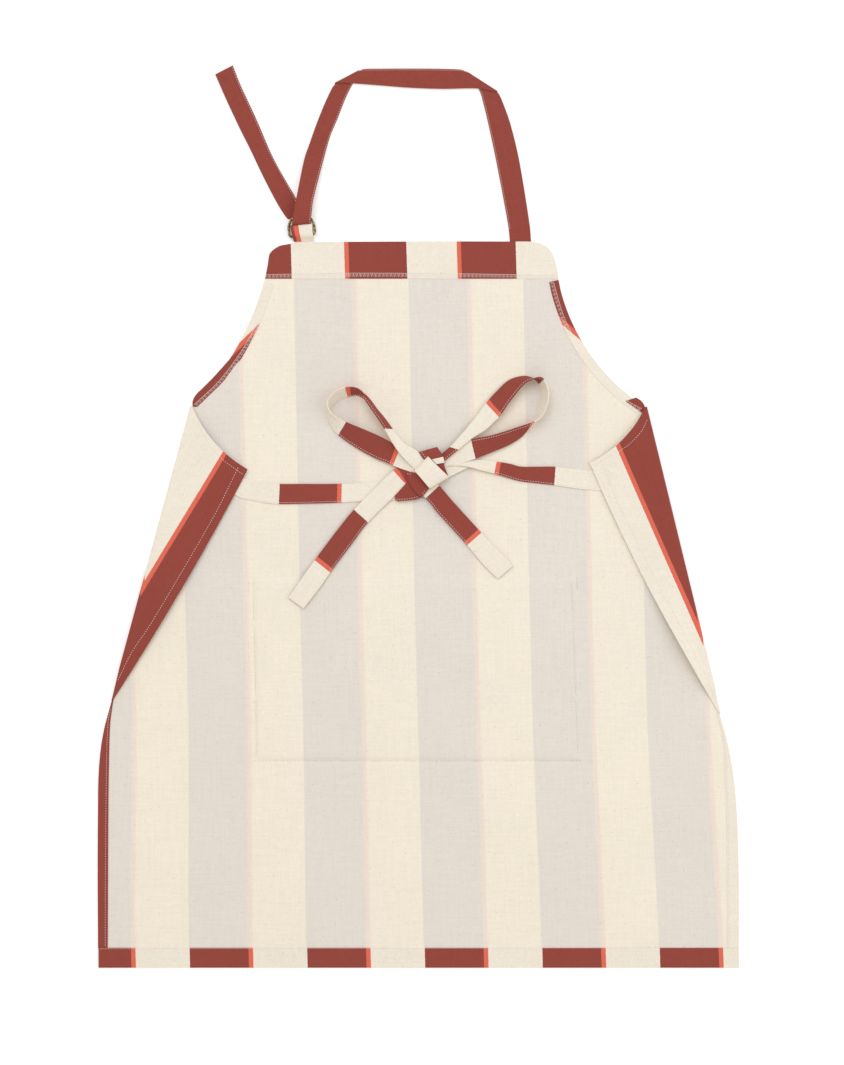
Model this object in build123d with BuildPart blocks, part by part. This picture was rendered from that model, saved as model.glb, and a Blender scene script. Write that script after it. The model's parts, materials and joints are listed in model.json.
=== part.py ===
from build123d import *
from math import atan2, copysign, cos, radians, sin
import os

# A bib apron of printed cotton canvas, laid flat on its front with its back up.
# Its upper side corners are folded in over the back, and its waist ties are tied
# in a bow. +Y runs towards the bib, +X to the right, and the table is at z = 0.

os.makedirs("parts", exist_ok=True)

# Driving dimensions, in millimetres.
hem_width = 709.0
overall_length = 998.0
bib_to_hem = 803.0
cloth = 0.8  # one layer of canvas
strap_thickness = 0.8
strap_width = 22.0
seam_gap = 0.3  # between pieces on different bodies
edge_hem = 10.0  # turned side hem
bottom_hem_depth = 22.0
facing_width = 10.5

# Heights above the table.
backing_z = cloth  # facings and hems that lie on the panel
fold_gap = 2.2  # air between the panel and what is folded over it
flap_under_z = cloth + fold_gap  # turned hem under each flap
flap_z = flap_under_z + cloth
tie_z = 1.8  # the ties lie lower than the flaps' turned hems
tie_thickness = 0.9
tail_z = 4.2
tail_over_pocket_z = 7.4  # clear of the raised cloth
loop_z = 5.6  # the loops stand clear of the ties
loop_height = 11.0
bow_top_z = loop_z + loop_height

# Patch pocket on the front, which the panel covers.
pocket_width = 360.0
pocket_depth = 202.0
pocket_hem_depth = 25.0
pocket_x = -1.0
pocket_foot_y = -270.0
pocket_room = 6.2  # underside of the panel over the open pocket
seam_slope = 25.0  # how far in from the seams the panel is fully raised
mouth_flat = 15.0  # how far the raised cloth runs on past the mouth
mouth_slope = 35.0
slope_margin = 8.0  # outer foot of the raised cloth beyond the seams

# Places on the outline, back up.
hem_y = -overall_length / 2
tip_y = overall_length / 2
bib_top_y = hem_y + bib_to_hem
half_hem = hem_width / 2
left_shoulder = (-250.0, 122.0)
left_fold_foot = (-338.5, -204.0)
right_shoulder = (250.5, 121.0)
right_fold_foot = (333.0, -218.0)
left_bib_base = (-169.8, 263.0)
right_bib_base = (154.3, 263.0)
left_bib_corner = (-130.0, bib_top_y)
right_bib_corner = (122.0, bib_top_y)
left_flap_corner = (-188.6, 52.0)
right_flap_corner = (189.3, 59.2)

# Curved edges of the cloth. Each is shared by the panel and what is sewn along it.
left_armhole = ThreePointArc(left_bib_base, (-202.0, 185.0), left_shoulder)
right_armhole = ThreePointArc(right_bib_base, (188.0, 182.0), right_shoulder)
left_bib_round = ThreePointArc(left_bib_base, (-158.1, 292.4), left_bib_corner)
right_bib_round = ThreePointArc(right_bib_base, (145.5, 294.3), right_bib_corner)
left_skirt_round = ThreePointArc(left_fold_foot, (-350.8, -256.0), (-half_hem, -320.0))
right_skirt_round = ThreePointArc(right_fold_foot, (345.0, -266.0), (351.0, -320.0))
left_flap_top = ThreePointArc(left_shoulder, (-225.2, 81.9), left_flap_corner)
right_flap_top = ThreePointArc(right_shoulder, (225.2, 84.8), right_flap_corner)
left_flap_edge = ThreePointArc(left_flap_corner, (-258.0, -74.0), left_fold_foot)
right_flap_edge = ThreePointArc(right_flap_corner, (257.5, -85.0), right_fold_foot)

# Neck strap, tab and rings.
ring_x = -128.0
ring_bar_y = 310.5
ring_turn = 8.0  # degrees the pair of rings leans from square
ring_inner_width = 26.0
ring_inner_depth = 20.0
ring_wire = 2.6
ring_corner = 3.0
lower_ring_z = 2.5
upper_ring_z = 5.4
tab_wall = 0.7
tab_height = 7.8
tab_length = 18.5
tab_room_start = 3.0  # how far from the bib the tab's tunnel begins
strap_over_rings_z = 11.0  # underside of the strap where it crosses the rings
strap_turn = 14.4  # how far past the bars the strap turns down between them
leg_width = 21.0  # of the left leg, which is drawn in by the rings
climb_start_y = 400.0
climb_overlap = 1.0

# Bow, on the square knot where the waist ties cross.
knot_centre = (12.0, 48.0)
knot_side = 27.0
knot_rounding = 4.0
knot_bevel = 3.0


def inward_arc(edge, width):
    """Give three points of the arc that runs beside an arc, nearer its centre."""
    centre = edge.arc_center
    reach = 1 - width / edge.radius
    return [centre + (edge @ along - centre) * reach for along in (0, 0.5, 1)]


def edge_band(edge, width):
    """Fill a band along an arc. A positive width lies on its centre's side."""
    start, middle, end = inward_arc(edge, width)
    with BuildLine() as outline:
        add(edge)
        Line(edge @ 0, start)
        ThreePointArc(start, middle, end)
        Line(end, edge @ 1)
    make_face(outline.edges())


def side_hem_outline(edge, foot_x):
    """Fill a side hem from its rounded top edge down to the bottom hem."""
    start, middle, end = inward_arc(edge, edge_hem)
    foot_y = hem_y + bottom_hem_depth
    inner_foot_x = foot_x - copysign(edge_hem, foot_x)
    with BuildLine() as outline:
        add(edge)
        Polyline(edge @ 1, (foot_x, foot_y), (inner_foot_x, foot_y), end)
        ThreePointArc(end, middle, start)
        Line(start, edge @ 0)
    make_face(outline.edges())


def ribbon(stations, thickness):
    """Loft a flat ribbon through stations of x, y, underside height and width."""
    sections = []
    for index, (x, y, low, width) in enumerate(stations):
        before = stations[max(index - 1, 0)]
        after = stations[min(index + 1, len(stations) - 1)]
        heading = atan2(after[1] - before[1], after[0] - before[0])
        section = Plane(
            origin=(x, y, low + thickness / 2),
            x_dir=(sin(heading), -cos(heading), 0),
            z_dir=(cos(heading), sin(heading), 0),
        )
        with BuildSketch(section) as cut:
            Rectangle(width, thickness)
        sections.append(cut.sketch)
    loft(sections, ruled=True)


def tapered_slot(near, near_radius, far, far_radius, mode=Mode.ADD):
    """Fill the outline around two circles, one at each end."""
    with BuildSketch(mode=Mode.PRIVATE) as slot:
        with Locations(near):
            Circle(near_radius)
        with Locations(far):
            Circle(far_radius)
        make_hull()
    add(slot.sketch, mode=mode)


def finish(builder, name):
    """Label a finished piece and write it out."""
    builder.part.label = name
    export_step(builder.part, f"parts/{name}.step")


# Main panel: bib and skirt in one cut, raised over the pocket so its mouth stands open.
pocket_mouth_y = pocket_foot_y + pocket_depth
raised_width = pocket_width - 2 * seam_slope
raised_depth = pocket_depth - seam_slope + mouth_flat
raised_y = pocket_foot_y + seam_slope + raised_depth / 2
recess_depth = pocket_depth + mouth_flat + mouth_slope
recess_y = pocket_foot_y + recess_depth / 2

with BuildPart() as apron_panel:
    with BuildSketch():
        with BuildLine():
            Line((-half_hem, hem_y), (half_hem, hem_y))
            Line((half_hem, hem_y), right_skirt_round @ 1)
            add(right_skirt_round)
            Line(right_fold_foot, right_shoulder)
            add(right_armhole)
            add(right_bib_round)
            Line(right_bib_corner, left_bib_corner)
            add(left_bib_round)
            add(left_armhole)
            Line(left_shoulder, left_fold_foot)
            add(left_skirt_round)
            Line(left_skirt_round @ 1, (-half_hem, hem_y))
        make_face()
    extrude(amount=cloth)
    with BuildSketch(Plane.XY.offset(cloth)):
        with Locations((pocket_x, recess_y)):
            Rectangle(pocket_width + 2 * slope_margin, recess_depth + 2 * slope_margin)
    with BuildSketch(Plane.XY.offset(pocket_room + cloth)):
        with Locations((pocket_x, raised_y)):
            Rectangle(raised_width, raised_depth)
    loft()
    with BuildSketch():
        with Locations((pocket_x, recess_y)):
            Rectangle(pocket_width, recess_depth)
    extrude(amount=cloth, mode=Mode.SUBTRACT)
    with BuildSketch(Plane.XY.offset(cloth)):
        with Locations((pocket_x, recess_y)):
            Rectangle(pocket_width, recess_depth)
    with BuildSketch(Plane.XY.offset(pocket_room)):
        with Locations((pocket_x, raised_y)):
            Rectangle(raised_width, raised_depth)
    loft(mode=Mode.SUBTRACT)
finish(apron_panel, "apron_panel")

# Patch pocket, flush with the front of the apron, and the turned hem along its mouth.
with BuildPart() as pocket:
    with BuildSketch():
        with Locations((pocket_x, pocket_foot_y + pocket_depth / 2)):
            Rectangle(pocket_width, pocket_depth)
    extrude(amount=cloth)
finish(pocket, "pocket")

with BuildPart() as pocket_hem:
    with BuildSketch(Plane.XY.offset(cloth)):
        with Locations((pocket_x, pocket_mouth_y - pocket_hem_depth / 2)):
            Rectangle(raised_width, pocket_hem_depth)
    extrude(amount=cloth)
finish(pocket_hem, "pocket_hem")

# Facings and hems on the back of the panel.
with BuildPart() as bib_facing:
    with BuildSketch(Plane.XY.offset(backing_z)):
        with BuildLine():
            Line(left_bib_base, right_bib_base)
            add(right_bib_round)
            Line(right_bib_corner, left_bib_corner)
            add(left_bib_round)
        make_face()
    extrude(amount=cloth)
finish(bib_facing, "bib_facing")

with BuildPart() as left_armhole_facing:
    with BuildSketch(Plane.XY.offset(backing_z)):
        edge_band(left_armhole.trim(0.02, 0.98), -facing_width)
    extrude(amount=cloth)
finish(left_armhole_facing, "left_armhole_facing")

with BuildPart() as right_armhole_facing:
    with BuildSketch(Plane.XY.offset(backing_z)):
        edge_band(right_armhole.trim(0.04, 0.98), -facing_width)
    extrude(amount=cloth)
finish(right_armhole_facing, "right_armhole_facing")

with BuildPart() as bottom_hem:
    with BuildSketch(Plane.XY.offset(backing_z)):
        with Locations((0, hem_y + bottom_hem_depth / 2)):
            Rectangle(hem_width - 2, bottom_hem_depth)
    extrude(amount=cloth)
finish(bottom_hem, "bottom_hem")

with BuildPart() as left_side_hem:
    with BuildSketch(Plane.XY.offset(backing_z)):
        side_hem_outline(left_skirt_round.trim(0.12, 1), -half_hem)
    extrude(amount=cloth)
finish(left_side_hem, "left_side_hem")

with BuildPart() as right_side_hem:
    with BuildSketch(Plane.XY.offset(backing_z)):
        side_hem_outline(right_skirt_round.trim(0.12, 1), half_hem)
    extrude(amount=cloth)
finish(right_side_hem, "right_side_hem")

# Corners folded in over the back. Each is hinged along its fold, printed side up,
# with its turned hem and the end of the armhole facing hidden beneath it.
with BuildPart() as left_flap:
    with BuildSketch(Plane.XY.offset(flap_z)):
        with BuildLine():
            add(left_flap_top)
            add(left_flap_edge)
            Line(left_fold_foot, left_shoulder)
        make_face()
    extrude(amount=cloth)
finish(left_flap, "left_flap")

with BuildPart() as right_flap:
    with BuildSketch(Plane.XY.offset(flap_z)):
        with BuildLine():
            add(right_flap_top)
            add(right_flap_edge)
            Line(right_fold_foot, right_shoulder)
        make_face()
    extrude(amount=cloth)
finish(right_flap, "right_flap")

with BuildPart() as left_flap_facing:
    with BuildSketch(Plane.XY.offset(flap_under_z)):
        edge_band(left_flap_top.trim(0.18, 0.94), -facing_width)
    extrude(amount=cloth)
finish(left_flap_facing, "left_flap_facing")

with BuildPart() as right_flap_facing:
    with BuildSketch(Plane.XY.offset(flap_under_z)):
        edge_band(right_flap_top.trim(0.18, 0.94), -facing_width)
    extrude(amount=cloth)
finish(right_flap_facing, "right_flap_facing")

with BuildPart() as left_flap_hem:
    with BuildSketch(Plane.XY.offset(flap_under_z)):
        edge_band(left_flap_edge.trim(0.06, 0.86), edge_hem)
    extrude(amount=cloth)
finish(left_flap_hem, "left_flap_hem")

with BuildPart() as right_flap_hem:
    with BuildSketch(Plane.XY.offset(flap_under_z)):
        edge_band(right_flap_edge.trim(0.06, 0.86), edge_hem)
    extrude(amount=cloth)
finish(right_flap_hem, "right_flap_hem")

# Waist ties, from the flap corners to the knot.
left_tie_stations = (
    (-198.3, 33.0, tie_z, strap_width),
    (-194.4, 31.9, tie_z, strap_width),
    (-177.0, 27.0, tie_z, strap_width),
    (-150.0, 24.8, tie_z, 21.0),
    (-98.0, 25.4, tie_z, 21.0),
    (-45.0, 30.0, tie_z, 20.0),
    (-14.0, 36.0, tie_z, 18.0),
    (2.0, 43.0, tie_z, 15.0),
)
with BuildPart() as left_tie:
    ribbon(left_tie_stations, tie_thickness)
    with BuildSketch(Plane.XY.offset(tie_z)):
        with Locations(knot_centre):
            Rectangle(knot_side, knot_side, rotation=45)
    extrude(amount=tie_thickness, mode=Mode.SUBTRACT)
finish(left_tie, "left_tie")

right_tie_stations = (
    (196.5, 39.7, tie_z, strap_width),
    (192.6, 38.8, tie_z, strap_width),
    (178.0, 40.5, tie_z, 21.0),
    (150.0, 45.6, tie_z, 19.0),
    (110.0, 48.0, tie_z, 16.0),
    (78.0, 54.5, tie_z, 12.0),
    (31.0, 57.0, tie_z, 8.0),
)
with BuildPart() as right_tie:
    ribbon(right_tie_stations, tie_thickness)
finish(right_tie, "right_tie")

# Square knot.
with BuildPart() as knot:
    with BuildSketch(Plane.XY.offset(tie_z)):
        with Locations(knot_centre):
            RectangleRounded(knot_side, knot_side, knot_rounding, rotation=45)
    extrude(amount=bow_top_z - tie_z)
    chamfer(knot.faces().sort_by(Axis.Z)[-1].edges(), knot_bevel)
finish(knot, "knot")

# Bow loops, standing on edge, each a wall around its own opening.
with BuildPart() as left_loop:
    with BuildSketch(Plane.XY.offset(loop_z)):
        tapered_slot((-12.0, 60.0), 9.0, (-75.0, 116.0), 25.0)
        tapered_slot((-40.0, 85.0), 5.0, (-74.0, 115.0), 17.0, Mode.SUBTRACT)
    extrude(amount=loop_height)
finish(left_loop, "left_loop")

with BuildPart() as right_loop:
    with BuildSketch(Plane.XY.offset(loop_z)):
        tapered_slot((33.0, 67.0), 9.0, (116.0, 126.0), 28.0)
        tapered_slot((66.0, 91.0), 5.0, (117.0, 127.0), 20.0, Mode.SUBTRACT)
    extrude(amount=loop_height)
finish(right_loop, "right_loop")

# Tails of the bow, which rise over the pocket.
left_tail_stations = (
    (-17.0, 46.6, tail_z, 20.0),
    (-62.5, 1.7, tail_z, 20.5),
    (-103.2, -50.9, tail_over_pocket_z, 20.5),
    (-135.2, -95.2, tail_over_pocket_z, 20.5),
)
with BuildPart() as left_tail:
    ribbon(left_tail_stations, cloth)
finish(left_tail, "left_tail")

right_tail_stations = (
    (14.5, 29.0, tail_z, 19.0),
    (50.5, -12.0, tail_z, 20.5),
    (82.0, -46.8, tail_over_pocket_z, 21.5),
    (95.8, -61.7, tail_over_pocket_z, 22.0),
)
with BuildPart() as right_tail:
    ribbon(right_tail_stations, cloth)
finish(right_tail, "right_tail")

# Neck strap. Its left leg climbs over the rings and turns down between them.
strap_foot_y = bib_top_y + seam_gap
turn_x = ring_x - strap_turn * sin(radians(ring_turn))
turn_y = ring_bar_y + strap_turn * cos(radians(ring_turn))
drop_foot_z = strap_thickness + seam_gap
drop_height = strap_over_rings_z + strap_thickness - drop_foot_z

with BuildPart() as neck_strap:
    with BuildSketch():
        with BuildLine():
            ThreePointArc((124.5, strap_foot_y), (111.5, 393.0), (90.0, 468.5))
            Polyline((90.0, 468.5), (82.4, 476.0), (61.4, 488.5), (48.0, 494.0))
            Line((48.0, 494.0), (-60.3, 494.0))
            Polyline((-60.3, 494.0), (-71.4, 490.7), (-93.0, 479.0))
            ThreePointArc((-93.0, 479.0), (-109.5, 442.0), (-124.5, climb_start_y))
            Line((-124.5, climb_start_y), (-103.5, climb_start_y))
            ThreePointArc((-103.5, climb_start_y), (-90.0, 442.0), (-74.7, 478.5))
            Polyline((-74.7, 478.5), (-14.9, 475.2), (28.0, 473.0), (66.8, 471.5))
            ThreePointArc((66.8, 471.5), (86.0, 393.0), (101.2, strap_foot_y))
            Line((101.2, strap_foot_y), (124.5, strap_foot_y))
        make_face()
    extrude(amount=strap_thickness)
    climb_stations = (
        (-113.7, climb_start_y + climb_overlap, 0.0, leg_width),
        (-120.3, 374.0, 4.6, leg_width),
        (-126.3, 350.0, 9.2, leg_width),
        (-128.3, 338.0, strap_over_rings_z, leg_width),
        (turn_x, turn_y, strap_over_rings_z, leg_width),
    )
    ribbon(climb_stations, strap_thickness)
    with Locations(Location((turn_x, turn_y, drop_foot_z + drop_height / 2), (0, 0, ring_turn))):
        Box(leg_width, strap_thickness, drop_height)
finish(neck_strap, "neck_strap")

# Free end of the strap, which comes out under the rings.
tail_stations = (
    (-135.0, 328.5, 0.0, 20.0),
    (-139.0, 336.5, 0.0, 20.5),
    (-156.5, 370.6, 0.0, 20.5),
    (-173.7, 405.2, 0.0, 21.0),
    (-194.7, 448.1, 0.0, 22.0),
    (-214.7, tip_y - 4.3, 0.0, 21.5),
)
with BuildPart() as strap_tail:
    ribbon(tail_stations, strap_thickness)
finish(strap_tail, "strap_tail")

# Folded tab, a flat tunnel for the straight bars of the two rings.
tunnel_length = tab_length - tab_wall - tab_room_start
tunnel_middle = (tab_room_start + tab_length - tab_wall) / 2

with BuildPart() as ring_tab:
    with BuildSketch(Plane.YZ.offset(ring_x - strap_width / 2)):
        with BuildLine():
            Polyline(
                (strap_foot_y, 0),
                (strap_foot_y + tab_length, 0),
                (strap_foot_y + tab_length, tab_height),
                (strap_foot_y + tab_room_start - tab_wall, tab_height),
                (strap_foot_y, 2 * cloth),
                close=True,
            )
        make_face()
        with Locations((strap_foot_y + tunnel_middle, tab_height / 2)):
            Rectangle(tunnel_length, tab_height - 2 * tab_wall, mode=Mode.SUBTRACT)
    extrude(amount=strap_width)
finish(ring_tab, "ring_tab")

# Pair of brass D-rings lying one on the other.
for ring_name, ring_z in (("d_ring_lower", lower_ring_z), ("d_ring_upper", upper_ring_z)):
    half_width = (ring_inner_width + ring_wire) / 2
    round_y = ring_inner_depth + ring_wire - half_width
    ring_plane = Plane(
        origin=(ring_x, ring_bar_y, ring_z),
        x_dir=(cos(radians(ring_turn)), sin(radians(ring_turn)), 0),
        z_dir=(0, 0, 1),
    )
    with BuildPart() as d_ring:
        with BuildLine(ring_plane) as ring_path:
            FilletPolyline(
                (-half_width, round_y),
                (-half_width, 0),
                (half_width, 0),
                (half_width, round_y),
                radius=ring_corner,
            )
            ThreePointArc((half_width, round_y), (0, round_y + half_width), (-half_width, round_y))
        first_side = ring_path.edges()[0]
        with BuildSketch(Plane(origin=first_side @ 0, z_dir=first_side % 0)):
            Circle(ring_wire / 2)
        sweep()
    finish(d_ring, ring_name)
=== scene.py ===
import json
import math

import bmesh
import bpy
import numpy as np
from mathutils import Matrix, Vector, noise
from mathutils.geometry import delaunay_2d_cdt


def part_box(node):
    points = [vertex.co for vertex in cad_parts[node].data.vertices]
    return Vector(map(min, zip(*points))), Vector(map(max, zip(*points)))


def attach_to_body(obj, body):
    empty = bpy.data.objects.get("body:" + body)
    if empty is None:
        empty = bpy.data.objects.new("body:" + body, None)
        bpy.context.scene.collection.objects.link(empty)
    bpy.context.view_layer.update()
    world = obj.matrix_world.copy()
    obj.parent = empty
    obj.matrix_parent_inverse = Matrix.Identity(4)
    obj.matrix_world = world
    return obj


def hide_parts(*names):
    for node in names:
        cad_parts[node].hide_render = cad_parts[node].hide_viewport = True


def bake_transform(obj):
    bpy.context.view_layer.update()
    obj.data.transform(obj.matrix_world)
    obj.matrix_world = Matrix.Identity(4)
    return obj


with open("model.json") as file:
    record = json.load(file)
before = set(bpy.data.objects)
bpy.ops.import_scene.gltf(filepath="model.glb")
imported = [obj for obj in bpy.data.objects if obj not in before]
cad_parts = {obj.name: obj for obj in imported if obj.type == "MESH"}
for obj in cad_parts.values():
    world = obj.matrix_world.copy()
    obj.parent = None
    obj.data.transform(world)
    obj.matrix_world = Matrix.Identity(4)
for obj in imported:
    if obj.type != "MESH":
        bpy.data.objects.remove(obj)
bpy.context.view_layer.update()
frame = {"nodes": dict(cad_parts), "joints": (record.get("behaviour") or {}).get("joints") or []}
MM = 0.001

# Cloth, in metres.
CLOTH = 0.0006  # one layer of canvas
LAYER = 0.00064  # from one layer's middle to the next one's
TAPE = 0.0011  # thickness of a tie, four layers pressed flat
STRAP_THICKNESS, TAB_THICKNESS = 0.0009, 0.0008
HEM_WIDTH, TAPE_WIDTH, STRAP_WIDTH = 0.0105, 0.022, 0.0235
GRID = 0.0045  # spacing of a cloth's points
TAPE_STEP, TAPE_ROWS = 0.0022, 9  # spacing of a tape's points, and how many lie across it
SEAM_STEP = 0.004  # spacing of the points that a seam is drawn through
STRIPE = 0.130  # repeat of the printed stripes: rust, coral, cream
RUST_WIDTH = 0.065
CORAL_END = 0.070
IN_RUST, IN_CREAM = 0.032, 0.100  # places in the repeat that are all one colour
STITCH_PITCH, STITCH_LENGTH, STITCH_WIDTH = 0.0028, 0.0018, 0.00062
SERGE_PITCH, SERGE_WIDTH = 0.0021, 0.00042

# Colours as linear light.
CREAM = (0.880, 0.800, 0.680, 1)
RUST = (0.300, 0.062, 0.045, 1)
CORAL = (0.760, 0.150, 0.094, 1)
CREAM_BACK = (0.905, 0.820, 0.690, 1)
GHOST_GREY = (0.788, 0.723, 0.655, 1)
GHOST_PINK = (0.870, 0.742, 0.650, 1)

# Places that the frame gives.
PANEL_LOW, PANEL_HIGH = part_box("apron_panel")
HEM_Y, BIB_TOP = PANEL_LOW.y, PANEL_HIGH.y
POCKET_LOW, POCKET_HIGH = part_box("pocket")
FACING_LOW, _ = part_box("bib_facing")
JOINTS = {joint["name"]: joint for joint in frame["joints"]}


def smooth(low, high, value):
    """0 below low, 1 above high, and an even curve between."""
    t = np.clip((value - low) / (high - low), 0, 1)
    return t * t * (3 - 2 * t)


def hump(at, height, centre, spread):
    """A rounded hump, as high as height at its centre."""
    return height * math.exp(-(((at - centre) / spread) ** 2))


def hermite(a, pull_a, b, pull_b, t):
    """A place on the curve from a to b that leaves and arrives along the two pulls."""
    return (a * (2 * t**3 - 3 * t**2 + 1) + pull_a * (t**3 - 2 * t**2 + t)
            + b * (3 * t**2 - 2 * t**3) + pull_b * (t**3 - t**2))


def distances(path):
    """How far along a path each of its points is."""
    return np.concatenate([[0], np.cumsum(np.linalg.norm(np.diff(path, axis=0), axis=1))])


def resample(row, count):
    """A row of points made into count of them, evenly by their order."""
    where = np.linspace(0, len(row) - 1, count)
    track = np.arange(len(row))
    return np.stack([np.interp(where, track, row[:, k]) for k in range(3)], axis=1)


def waves(x, y, kind):
    """Height of the cloth's waves of a kind, up and down from 0."""
    height, across, along, seed = kind
    return height * noise.noise(Vector((x / across, y / along, seed)))


# ---------------------------------------------------------------- lie of the cloth
LIE = 0.00045  # lowest that the middle of the panel's cloth lies
POCKET_RISE = 0.0014
# Waves in the cloth: height, length across and along the apron, and place in the noise.
SWELL = (0.0003, 0.16, 0.30, 3.1)
RIPPLE = (0.0002, 0.045, 0.11, 8.2)
FLAP_WAVE = (0.0005, 0.05, 0.13, 5.5)
# The pocket's seams as they show on the back, in millimetres.
POCKET_SEAMS = (
    ((-183.0, -71.0), (-182.0, -120.0), (-180.0, -200.0), (-179.4, -266.0)),
    ((-184.5, -270.3), (0.0, -270.6), (183.5, -270.5)),
    ((168.7, -70.0), (171.0, -120.0), (173.6, -200.0), (176.5, -262.5)),
)
SEAM_DEPTH, SEAM_HALF_WIDTH = 0.0006, 0.0013
REST = 0.0009  # a tape's heights are measured from where this much of the panel lies


def seam_pull(x, y):
    """How far the pocket's stitching pulls the panel's cloth down at a place."""
    near = 1.0
    for seam in POCKET_SEAMS:
        for a, b in zip(seam, seam[1:]):
            dx, dy = b[0] - a[0], b[1] - a[1]
            t = ((x / MM - a[0]) * dx + (y / MM - a[1]) * dy) / (dx * dx + dy * dy)
            t = min(max(t, 0), 1)
            near = min(near, math.hypot(x - (a[0] + dx * t) * MM, y - (a[1] + dy * t) * MM))
    return hump(near, SEAM_DEPTH, 0, SEAM_HALF_WIDTH)


def lay(x, y):
    """Height of the middle of the panel's cloth as it lies on the table."""
    side = min(x - POCKET_LOW.x, POCKET_HIGH.x - x)
    end = min(y - POCKET_LOW.y, POCKET_HIGH.y - y)
    pocket = smooth(-0.002, 0.006, min(side, end)) * POCKET_RISE
    swell = (SWELL[0] + waves(x, y, SWELL)) * smooth(0, 0.03, y - HEM_Y)
    ripple = RIPPLE[0] + waves(x, y, RIPPLE)
    return LIE + float(pocket + swell + ripple) - seam_pull(x, y)


class Fold:
    """The straight line that a flap is folded along, from its joint."""

    def __init__(self, joint_name, inward):
        joint = JOINTS[joint_name]
        self.origin = Vector(joint["pos_m"][:2])
        self.along = Vector(joint["axis"][:2]).normalized()
        self.inward = Vector((-self.along.y, self.along.x))
        if self.inward.x * inward < 0:
            self.inward.negate()

    def depth(self, x, y):
        """How far in from the fold a place is."""
        return (Vector((x, y)) - self.origin).dot(self.inward)


LEFT_FOLD = Fold("left_flap_fold", 1)
RIGHT_FOLD = Fold("right_flap_fold", -1)
# How far a flap stands off the panel: at its fold, over most of it, and at its lower tip.
FOLD_LIFT, FLAP_LIFT, TIP_LIFT = 0.0036, 0.0029, 0.0016
TIP_Y = -0.206
TOP_SWELL, TOP_Y, TOP_SPREAD = 0.0030, 0.092, 0.035  # extra lift beside the flap's upper end


def flap_lay(fold, swell, centre, spread, tip_length):
    """Height of a flap, whose free edge stands off the panel most at y = centre."""
    def height(x, y):
        depth = fold.depth(x, y)
        lift = FOLD_LIFT + (FLAP_LIFT - FOLD_LIFT) * smooth(0, 0.05, depth)
        lift += hump(y, swell, centre, spread) * smooth(0.002, 0.026, depth)
        lift += hump(y, TOP_SWELL, TOP_Y, TOP_SPREAD) * smooth(0.002, 0.022, depth)
        wave = waves(x, y, FLAP_WAVE) * smooth(0.005, 0.04, depth)
        lift = TIP_LIFT + (lift - TIP_LIFT) * smooth(TIP_Y, TIP_Y + tip_length, y)
        return lay(x, y) + float(lift + wave)
    return height


# ---------------------------------------------------------------- prints
def panel_print(x, y):
    """Place in the stripe repeat on the panel, whose stripes lean a little."""
    rise = y - HEM_Y
    scale = 1 - 0.024 * smooth(0, 0.30, rise)
    shift = 0.0076 - 0.0265 * rise + 0.0071 * max(0.0, rise - 0.399)
    return (x - shift) / scale


def facing_print(x, y):
    """The bib's facing runs the other way, and is stretched a little more on its left."""
    beyond = -0.0130 - x - 0.03 * (y - FACING_LOW.y - 0.020)
    return beyond / (0.983 if beyond > 0 else 0.930)


def across_line(start, end, value, sense):
    """Stripes beside a line, counted from value on it, more to its left if sense is 1."""
    along = (Vector(end) - Vector(start)).normalized()
    left = Vector((-along.y, along.x)) * sense
    return lambda x, y: value + (Vector((x, y)) - Vector(start)).dot(left)


left_flap_print = across_line((-0.2158, 0.0718), (-0.2617, -0.0038), CORAL_END, -1)
right_flap_print = across_line((0.2219, 0.081), (0.3175, -0.137), RUST_WIDTH, -1)
left_armhole_print = across_line((-0.1915, 0.1983), (-0.1741, 0.2152), CORAL_END, 1)
right_armhole_print = across_line((0.1647, 0.2072), (0.1813, 0.193), CORAL_END, -1)


def plain(value):
    """A cloth cut from one colour of the print."""
    return lambda x, y: value + x * 0.05


# ---------------------------------------------------------------- meshes
def new_piece(name, points, faces, uvs, materials):
    """A mesh object, with one place on the cloth for each point unless uvs is None."""
    mesh = bpy.data.meshes.new(name)
    mesh.from_pydata([tuple(p) for p in points], [], faces)
    for material in materials:
        mesh.materials.append(material)
    if uvs is not None:
        layer = mesh.uv_layers.new(name="Cloth")
        loops = np.zeros(len(mesh.loops), np.int32)
        mesh.loops.foreach_get("vertex_index", loops)
        layer.data.foreach_set("uv", np.asarray(uvs, np.float32)[loops].ravel())
    mesh.shade_smooth()
    piece = bpy.data.objects.new(name, mesh)
    bpy.context.scene.collection.objects.link(piece)
    return piece


def thicken(piece, thickness, edge_angle=50):
    """Give a cloth its thickness, as a closed mesh with crisp cut edges."""
    modifier = piece.modifiers.new("thickness", "SOLIDIFY")
    modifier.thickness = thickness
    modifier.offset = 0
    modifier.use_even_offset = False
    modifier.use_quality_normals = True
    if len(piece.data.materials) > 1:
        modifier.material_offset = 1
    depsgraph = bpy.context.evaluated_depsgraph_get()
    solid = bpy.data.meshes.new_from_object(piece.evaluated_get(depsgraph))
    piece.modifiers.clear()
    piece.data = solid
    edit = bmesh.new()
    edit.from_mesh(solid)
    for edge in edit.edges:
        edge.smooth = edge.calc_face_angle(0) < math.radians(edge_angle)
    edit.to_mesh(solid)
    edit.free()
    return piece


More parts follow.
